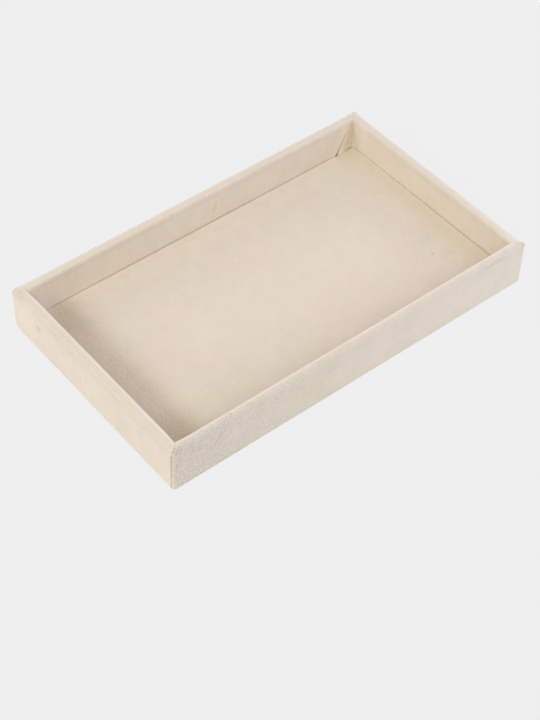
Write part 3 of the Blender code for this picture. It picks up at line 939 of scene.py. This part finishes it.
# name, quarter turns, is it long, lean, fullness of the inner and of the outer bend, tones, ruffle
wall_cover("front_velvet", 0, True, 0, -0.4 * MM, 0, FRONT_TONES, ruffle_near_corner)
wall_cover("right_velvet", 1, False, 0.5 * MM, 0, -0.6 * MM, FAR_TONES, slight_ruffle)
wall_cover("back_velvet", 2, True, -0.9 * MM, 0, -0.5 * MM, FAR_TONES, slight_ruffle)
wall_cover("left_velvet", 3, False, 0, 0.35 * MM, 0, LEFT_TONES, slight_ruffle)

# %% [markdown]
# The floor pad is a card wrapped like a small parcel: velvet over the top, down the sides and
# turned in underneath, with a mitred slit at each corner of the hem. A bevelled box would show the
# same from above, but the real cloth goes all the way round. The top is a grid. The sides and the
# hem are rings round it, whose corner columns all start from the grid's corner.

# %% Rings of the floor pad
PAD_HEM = 10 * MM
PAD_STEP = 1.25 * MM
CORNER_STEPS = 4
TOP_BEND_STEPS, LOW_BEND_STEPS, HEM_STEPS = 5, 4, 5
MERGE_WITHIN = 0.001 * MM
pad_half = (pad_high.x, pad_high.y)


def pad_section():
    """From the edge of the pad's top, over the side and in along the underside."""
    top, low = pad_high.z, pad_low.z
    line = bend((PAD_RADIUS, top - PAD_RADIUS), PAD_RADIUS, 90, 180, TOP_BEND_STEPS)
    line += straight((0, top - PAD_RADIUS), (0, low + PAD_RADIUS), 1)
    line += bend((PAD_RADIUS, low + PAD_RADIUS), PAD_RADIUS, 180, 270, LOW_BEND_STEPS)
    line += straight((PAD_RADIUS, low), (PAD_HEM, low), HEM_STEPS) + [(PAD_HEM, low)]
    return line


def pad_ring(inset_now, z, edge_x, edge_y):
    """One ring of places round the pad. edge_x and edge_y are the top grid's columns and rows."""
    rounding = max(PAD_RADIUS - inset_now, 0)
    end_x, end_y = (half - inset_now - rounding for half in pad_half)
    xs = edge_x / edge_x[-1] * end_x
    ys = edge_y / edge_y[-1] * end_y
    sides = [(xs, -end_y, 0, -1), (end_x, ys, 1, 0), (xs[::-1], end_y, 0, 1), (-end_x, ys[::-1], -1, 0)]
    places = []
    for quarter, (side_x, side_y, out_x, out_y) in enumerate(sides):
        side_x, side_y = np.broadcast_arrays(side_x, side_y)
        places += [(x + out_x * rounding, y + out_y * rounding, z) for x, y in zip(side_x, side_y)]
        for step in range(1, CORNER_STEPS):
            angle = (quarter - 1 + step / CORNER_STEPS) * math.pi / 2
            x, y = side_x[-1] + rounding * math.cos(angle), side_y[-1] + rounding * math.sin(angle)
            places.append((x, y, z))
    return places


# %% Mesh of the floor pad
def floor_pad():
    """The pad's velvet as one mesh."""
    edge_x, edge_y = (
        np.linspace(-1, 1, round(2 * half / PAD_STEP) + 1) * (half - PAD_RADIUS) for half in pad_half
    )
    level = np.full((len(edge_y), len(edge_x)), FLOOR_Z)
    grid = np.stack([*np.meshgrid(edge_x, edge_y), level], axis=-1)
    faces = grid_faces(grid)
    places = grid.reshape(-1, 3).tolist()
    line = pad_section()
    rings = [pad_ring(inset_now, z, edge_x, edge_y) for inset_now, z in line]
    around = len(rings[0])
    widest = np.abs(np.array(rings[TOP_BEND_STEPS])[:, :2])
    in_corner = np.all(np.abs(widest - pad_half) < PAD_RADIUS, axis=1)
    first = len(places)
    for ring in rings:
        places += ring
    for row in range(len(line) - 1):
        is_hem = row >= len(line) - 1 - HEM_STEPS
        for column in range(around):
            if is_hem and in_corner[column]:
                continue
            ahead = (column + 1) % around
            low, high = first + row * around, first + (row + 1) * around
            faces.append((low + column, high + column, high + ahead, low + ahead))
    mesh = bpy.data.meshes.new("floor_pad")
    mesh.from_pydata(places, [], faces)
    shape = bmesh.new()
    shape.from_mesh(mesh)
    bmesh.ops.remove_doubles(shape, verts=shape.verts, dist=MERGE_WITHIN)
    shape.to_mesh(mesh)
    shape.free()
    return mesh


pad_mesh = floor_pad()
print("pad", [round(2 * half / MM, 1) for half in pad_half], "mm,", len(pad_mesh.polygons), "faces")

# %% [markdown]
# The pad isn't cut quite to size: its right edge meets the wall, and its back edge leaves a dark
# gap. Scaling the pad would move every edge, so only the places towards these two are moved. The
# pile is painted paler towards the middle, and a painted highlight lies along its very edge. It is
# rougher by the left wall, and there its darker, more olive pile also paints that wall's shadow.
# Two more lists, of painted shade and light, give that wall's soft shadow a clearer edge, and paint
# shade into the two corners on that side.

# %% Tones of the floor pad
PAD_TO_RIGHT = 0.85 * MM
PAD_FROM_BACK = 0.75 * MM
PAD_CALM = 0.8
PAD_SEED = Vector((7, 1, 2))
WALL_RUFFLE = 0.6
WALL_RUFFLE_START = 1.9
WALL_RUFFLE_FADE = 18 * MM
# distances in millimetres from the nearest edge: how much painted light
PAD_PALE = [(0, 0.2), (4, 0), (20, 0), (60, 0.22)]
# from the left edge: how much painted shade, or painted light below 0, and the same for the corners on
# that side
PAD_LEFT_TONES = [
    (3, 0), (10, -0.06), (14, 0.01), (18, 0.045), (22, -0.03),
    (26, -0.11), (30, -0.13), (36, -0.12), (42, -0.06), (50, 0),
]
PAD_CORNER_TONES = [(6, 0.15), (18, 0.15), (24, 0.13), (30, 0.07), (42, 0)]
# from the line along the middle: how much of the corners' tones to use
PAD_CORNERS_SHARE = [(32, 0), (46, 1)]


def ruffle_and_shadow_near_wall(places):
    """Rough along the left wall, where no hand strokes the floor; it also paints that wall's shadow."""
    start = WALL_RUFFLE_START - (places[..., 0] + INNER_LENGTH) / WALL_RUFFLE_FADE
    return LEAST_RUFFLE + WALL_RUFFLE * held(start)


# %% Floor pad
pad_places = np.array([list(vert.co) for vert in pad_mesh.vertices])
for vert in pad_mesh.vertices:
    if vert.co.z > FLOOR_Z - PAD_RADIUS / 2:
        swell = noise.noise(vert.co / SWELL_SIZE + PAD_SEED) * PAD_CALM * SWELL
        vert.co.z += swell + noise.noise(vert.co / RIPPLE_SIZE) * RIPPLE
    vert.co.x += PAD_TO_RIGHT * max(vert.co.x, 0) / pad_half[0]
    vert.co.y -= PAD_FROM_BACK * max(vert.co.y, 0) / pad_half[1]
from_left = (pad_places[:, 0] + pad_half[0]) / MM
from_edge = np.min(np.array([pad_half]) - np.abs(pad_places[:, :2]), axis=1) / MM
near_corner = np.interp(np.abs(pad_places[:, 1]) / MM, *zip(*PAD_CORNERS_SHARE))
# above 0 painted shade, below 0 painted light; the marks add a speck and their painted shade and light
tone = np.interp(from_left, *zip(*PAD_LEFT_TONES))
tone += near_corner * np.interp(from_left, *zip(*PAD_CORNER_TONES)) + marks_at(pad_places)[1]
pale = np.interp(from_edge, *zip(*PAD_PALE))
keep_number(pad_mesh, "ruffle", ruffle_and_shadow_near_wall(pad_places))
keep_number(pad_mesh, "shade", np.maximum(tone, 0))
keep_number(pad_mesh, "painted_light", pale + np.maximum(-tone, 0))
pad = thick_piece("pad_velvet", pad_mesh, pad_velvet, CLOTH)
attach(pad, "root")
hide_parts("floor_pad_velvet")

# %% [markdown]
# A plain felt closes the underside. It is one flat layer with rounded corners, glued on over the
# hems. It wavers a little, as needled felt does, which a plane would not.

# %% Shape of the bottom felt
felt_low, felt_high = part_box("bottom_sheet")
FELT_CORNER = 3 * MM
FELT_STEP = 2.5 * MM
FELT_CORNER_STEPS = 5
FELT_THICKNESS = 0.85 * MM
FELT_WAVER = 0.06 * MM
FELT_WAVER_SIZE = 6 * MM
FELT_SEED = 5


def felt_axis(half):
    """Distances from the middle for the felt's grid, closer together in the rounded corners."""
    inner = half - FELT_CORNER
    middle = np.linspace(-inner, inner, round(2 * inner / FELT_STEP) + 1)
    edge = inner + FELT_CORNER * np.linspace(0, 1, FELT_CORNER_STEPS + 1)[1:]
    return np.concatenate([-edge[::-1], middle, edge])


def into_corner(along, over_along, over_across):
    """One coordinate of the felt, drawn in where both run over into a rounded corner."""
    drawn_in = FELT_CORNER * over_along * (1 - np.sqrt(1 - over_across**2 / 2))
    return np.copysign(np.abs(along) - drawn_in, along)


grid_x, grid_y = np.meshgrid(felt_axis(felt_high.x), felt_axis(felt_high.y))
over_x = held((np.abs(grid_x) - felt_high.x + FELT_CORNER) / FELT_CORNER)
over_y = held((np.abs(grid_y) - felt_high.y + FELT_CORNER) / FELT_CORNER)
felt_x, felt_y = into_corner(grid_x, over_x, over_y), into_corner(grid_y, over_y, over_x)
felt_places = np.stack([felt_x, felt_y, np.full(felt_x.shape, felt_low.z)], axis=-1)
felt_places[..., 2] += FELT_WAVER + unevenness(felt_places, FELT_WAVER, FELT_WAVER_SIZE, FELT_SEED)
print("felt", grid_x.shape)

# %% [markdown]
# The boards are fibreboard, the pad's core is grey card, and the brads are drawn steel. Velvet
# hides them all, so they keep the frame's shapes and only get a material. The felt's is made the
# same way: two close tones, mixed by a fine noise and a broad one.

# %% Felt, board, card and steel
BROAD_FACTOR = 12
BROAD_SHARE = 0.3
SPECKLES_FROM, SPECKLES_TO = 0.35, 0.65
ROUGHNESS_SPREAD = 0.08
SPECKLE_BUMP = 0.5
DRAWN = ((0, 0, 0), (1, 0.05, 1))


def speckled(name, light, dark, size, roughness, bump_height, metallic=0.0, stretch=None):
    """A finish of two close tones, for the hidden pieces and the felt."""
    material, net = new_material(name)
    shader = net.nodes["Principled BSDF"]
    place = net.nodes.new("ShaderNodeTexCoord").outputs["Object"]
    fine = noise_layer(net, place, size, detail=4, stretch=stretch)
    broad = noise_layer(net, place, BROAD_FACTOR * size, detail=2)
    both = weighted_sum(net, [(fine, 1 - BROAD_SHARE), (broad, BROAD_SHARE)])
    tone = between(net, both, SPECKLES_FROM, SPECKLES_TO, 0, 1)
    net.links.new(mixed_colour(net, tone, dark, light), shader.inputs["Base Color"])
    smoothest = roughness - ROUGHNESS_SPREAD
    uneven = between(net, fine, NOISE_LOW, NOISE_HIGH, smoothest, roughness)
    net.links.new(uneven, shader.inputs["Roughness"])
    add_bump(net, shader, fine, SPECKLE_BUMP, bump_height)
    fill(shader, {"Metallic": metallic})
    return material


# name, light and dark, size of the speckles, roughness, height of the relief
felt = speckled("felt", (0.70, 0.61, 0.50), (0.56, 0.47, 0.37), 0.9 * MM, 1.0, 0.3 * MM)
fibreboard = speckled("fibreboard", (0.52, 0.39, 0.26), (0.34, 0.24, 0.15), 0.6 * MM, 0.9, 0.05 * MM)
grey_card = speckled("grey_card", (0.52, 0.50, 0.46), (0.38, 0.36, 0.33), 0.5 * MM, 0.95, 0.03 * MM)
steel_tones = ((0.66, 0.66, 0.64), (0.50, 0.50, 0.49))
steel = (0.3 * MM, 0.42, 0.01 * MM)
brad_steel = speckled("brad_steel", *steel_tones, *steel, metallic=1.0, stretch=DRAWN)
print("finishes:", [finish.name for finish in (felt, fibreboard, grey_card, brad_steel)])

# %% Bottom felt and hidden pieces
felt_flat = np.stack([grid_x, grid_y], axis=-1)
felt_piece = cloth_piece("bottom_felt", felt_places[::-1], felt_flat[::-1], felt, FELT_THICKNESS)
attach(felt_piece, "root")
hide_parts("bottom_sheet")

finishes = {"board": fibreboard, "card": grey_card, "brad": brad_steel}
for name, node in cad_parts.items():
    kind = name.split("_")[-1]
    if kind in finishes:
        node.data.materials.clear()
        node.data.materials.append(finishes[kind])
print("finished", sum(name.split("_")[-1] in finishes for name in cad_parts), "hidden pieces")
